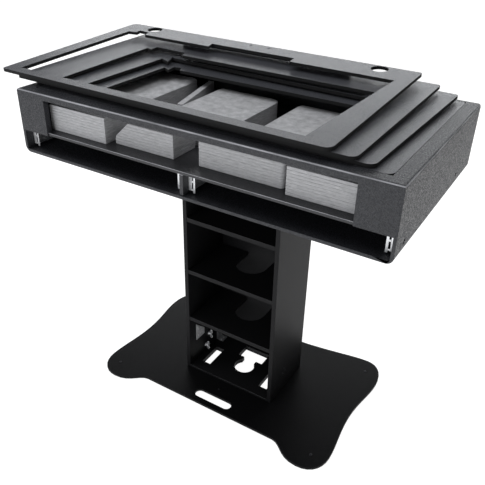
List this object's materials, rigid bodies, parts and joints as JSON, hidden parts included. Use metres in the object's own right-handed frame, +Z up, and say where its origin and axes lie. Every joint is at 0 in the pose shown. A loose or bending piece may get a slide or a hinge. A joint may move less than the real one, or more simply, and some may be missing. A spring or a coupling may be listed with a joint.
{
  "type": "control desk podium stand",
  "caption": "Wide shallow casing with lift-off faceplates and slide-fitted drawer bays, on an open shelf column and a lobed base plate.",
  "frame": {"origin": "middle of the podium's box, on the floor under the rubber feet", "axes": "+X to the right across the wide casing, +Y to the rear, +Z up; the open bays and the column shelves face -Y"},
  "size_m": [1.3006, 0.6944, 1.1564],
  "materials": {
    "textured_shell": "board under a fine pebbled black coating, satin",
    "faceplate_laminate": "smooth black laminate with a satin sheen",
    "black_board": "painted black board, matt to satin",
    "base_board": "painted black board, satin",
    "grey_foam": "layered mid-grey polyethylene foam",
    "zinc_steel": "bright zinc plate",
    "foot_rubber": "matt black rubber"
  },
  "bodies": {
    "stand": {"casing_bottom_panel": "textured_shell", "casing_left_side": "textured_shell", "casing_right_side": "textured_shell", "casing_back_panel": "textured_shell", "top_front_rail": "textured_shell", "top_rear_rail": "textured_shell", "top_left_rail": "textured_shell", "top_right_rail": "textured_shell", "plate_ledge": "black_board", "mid_shelf": "black_board", "drawer_divider": "black_board", "left_cheek": "textured_shell", "right_cheek": "textured_shell", "foam_block_1": "grey_foam", "foam_block_3": "grey_foam", "foam_block_4": "grey_foam", "foam_block_5": "grey_foam", "foam_block_6": "grey_foam", "foam_block_2": "grey_foam", "foam_plank": "grey_foam", "slide_1_fixed_channel": "zinc_steel", "slide_2_fixed_channel": "zinc_steel", "slide_3_fixed_channel": "zinc_steel", "slide_4_fixed_channel": "zinc_steel", "column_left_side": "black_board", "column_right_side": "black_board", "column_back_panel": "black_board", "column_upper_shelf": "black_board", "column_middle_shelf": "black_board", "column_lower_shelf": "black_board", "column_floor": "black_board", "base_plate": "base_board", "rubber_foot_1": "foot_rubber", "rubber_foot_2": "foot_rubber", "rubber_foot_3": "foot_rubber", "rubber_foot_4": "foot_rubber", "left_angle_bracket": "zinc_steel", "right_angle_bracket": "zinc_steel", "left_gusset_plate": "zinc_steel", "right_gusset_plate": "zinc_steel"},
    "plate_1": {"faceplate_1": "faceplate_laminate"},
    "plate_2": {"spacer_batten_1": "black_board", "faceplate_2": "faceplate_laminate"},
    "plate_3": {"spacer_batten_2": "black_board", "faceplate_3": "faceplate_laminate"},
    "plate_4": {"spacer_batten_3": "black_board", "faceplate_4": "faceplate_laminate"},
    "slide_1_channel": {"slide_1_moving_channel": "zinc_steel"},
    "slide_1_cage": {"slide_1_ball_cage": "zinc_steel"},
    "slide_2_channel": {"slide_2_moving_channel": "zinc_steel"},
    "slide_2_cage": {"slide_2_ball_cage": "zinc_steel"},
    "slide_3_channel": {"slide_3_moving_channel": "zinc_steel"},
    "slide_3_cage": {"slide_3_ball_cage": "zinc_steel"},
    "slide_4_channel": {"slide_4_moving_channel": "zinc_steel"},
    "slide_4_cage": {"slide_4_ball_cage": "zinc_steel"},
    "wing_1": {"wing_bolt_1": "zinc_steel"},
    "wing_2": {"wing_bolt_2": "zinc_steel"}
  },
  "joints": [
    {"name": "plate_1_lift", "type": "slide", "parent": "stand", "child": "plate_1", "axis": [0, 0, 1], "range_m": [0, 0.2]},
    {"name": "plate_2_lift", "type": "slide", "parent": "plate_1", "child": "plate_2", "axis": [0, 0, 1], "range_m": [0, 0.2]},
    {"name": "plate_3_lift", "type": "slide", "parent": "plate_2", "child": "plate_3", "axis": [0, 0, 1], "range_m": [0, 0.2]},
    {"name": "plate_4_lift", "type": "slide", "parent": "plate_3", "child": "plate_4", "axis": [0, 0, 1], "range_m": [0, 0.2]},
    {"name": "slide_1_travel", "type": "slide", "parent": "stand", "child": "slide_1_channel", "axis": [0, -1, 0], "range_m": [0, 0.24]},
    {"name": "slide_1_cage_travel", "type": "slide", "parent": "stand", "child": "slide_1_cage", "axis": [0, -1, 0], "range_m": [0, 0.12]},
    {"name": "slide_2_travel", "type": "slide", "parent": "stand", "child": "slide_2_channel", "axis": [0, -1, 0], "range_m": [0, 0.24]},
    {"name": "slide_2_cage_travel", "type": "slide", "parent": "stand", "child": "slide_2_cage", "axis": [0, -1, 0], "range_m": [0, 0.12]},
    {"name": "slide_3_travel", "type": "slide", "parent": "stand", "child": "slide_3_channel", "axis": [0, -1, 0], "range_m": [0, 0.24]},
    {"name": "slide_3_cage_travel", "type": "slide", "parent": "stand", "child": "slide_3_cage", "axis": [0, -1, 0], "range_m": [0, 0.12]},
    {"name": "slide_4_travel", "type": "slide", "parent": "stand", "child": "slide_4_channel", "axis": [0, -1, 0], "range_m": [0, 0.24]},
    {"name": "slide_4_cage_travel", "type": "slide", "parent": "stand", "child": "slide_4_cage", "axis": [0, -1, 0], "range_m": [0, 0.12]},
    {"name": "wing_bolt_1_turn", "type": "hinge", "parent": "stand", "child": "wing_1", "pos_m": [-0.11785, 0.02478, 0.0953], "axis": [1, 0, 0], "range_deg": [0, 360]},
    {"name": "wing_bolt_2_turn", "type": "hinge", "parent": "stand", "child": "wing_2", "pos_m": [-0.11785, 0.00278, 0.0533], "axis": [1, 0, 0], "range_deg": [0, 360]}
  ],
  "couplings": [
    {"joint": "slide_1_cage_travel", "follows": "slide_1_travel", "ratio": 0.5},
    {"joint": "slide_2_cage_travel", "follows": "slide_2_travel", "ratio": 0.5},
    {"joint": "slide_3_cage_travel", "follows": "slide_3_travel", "ratio": 0.5},
    {"joint": "slide_4_cage_travel", "follows": "slide_4_travel", "ratio": 0.5}
  ]
}
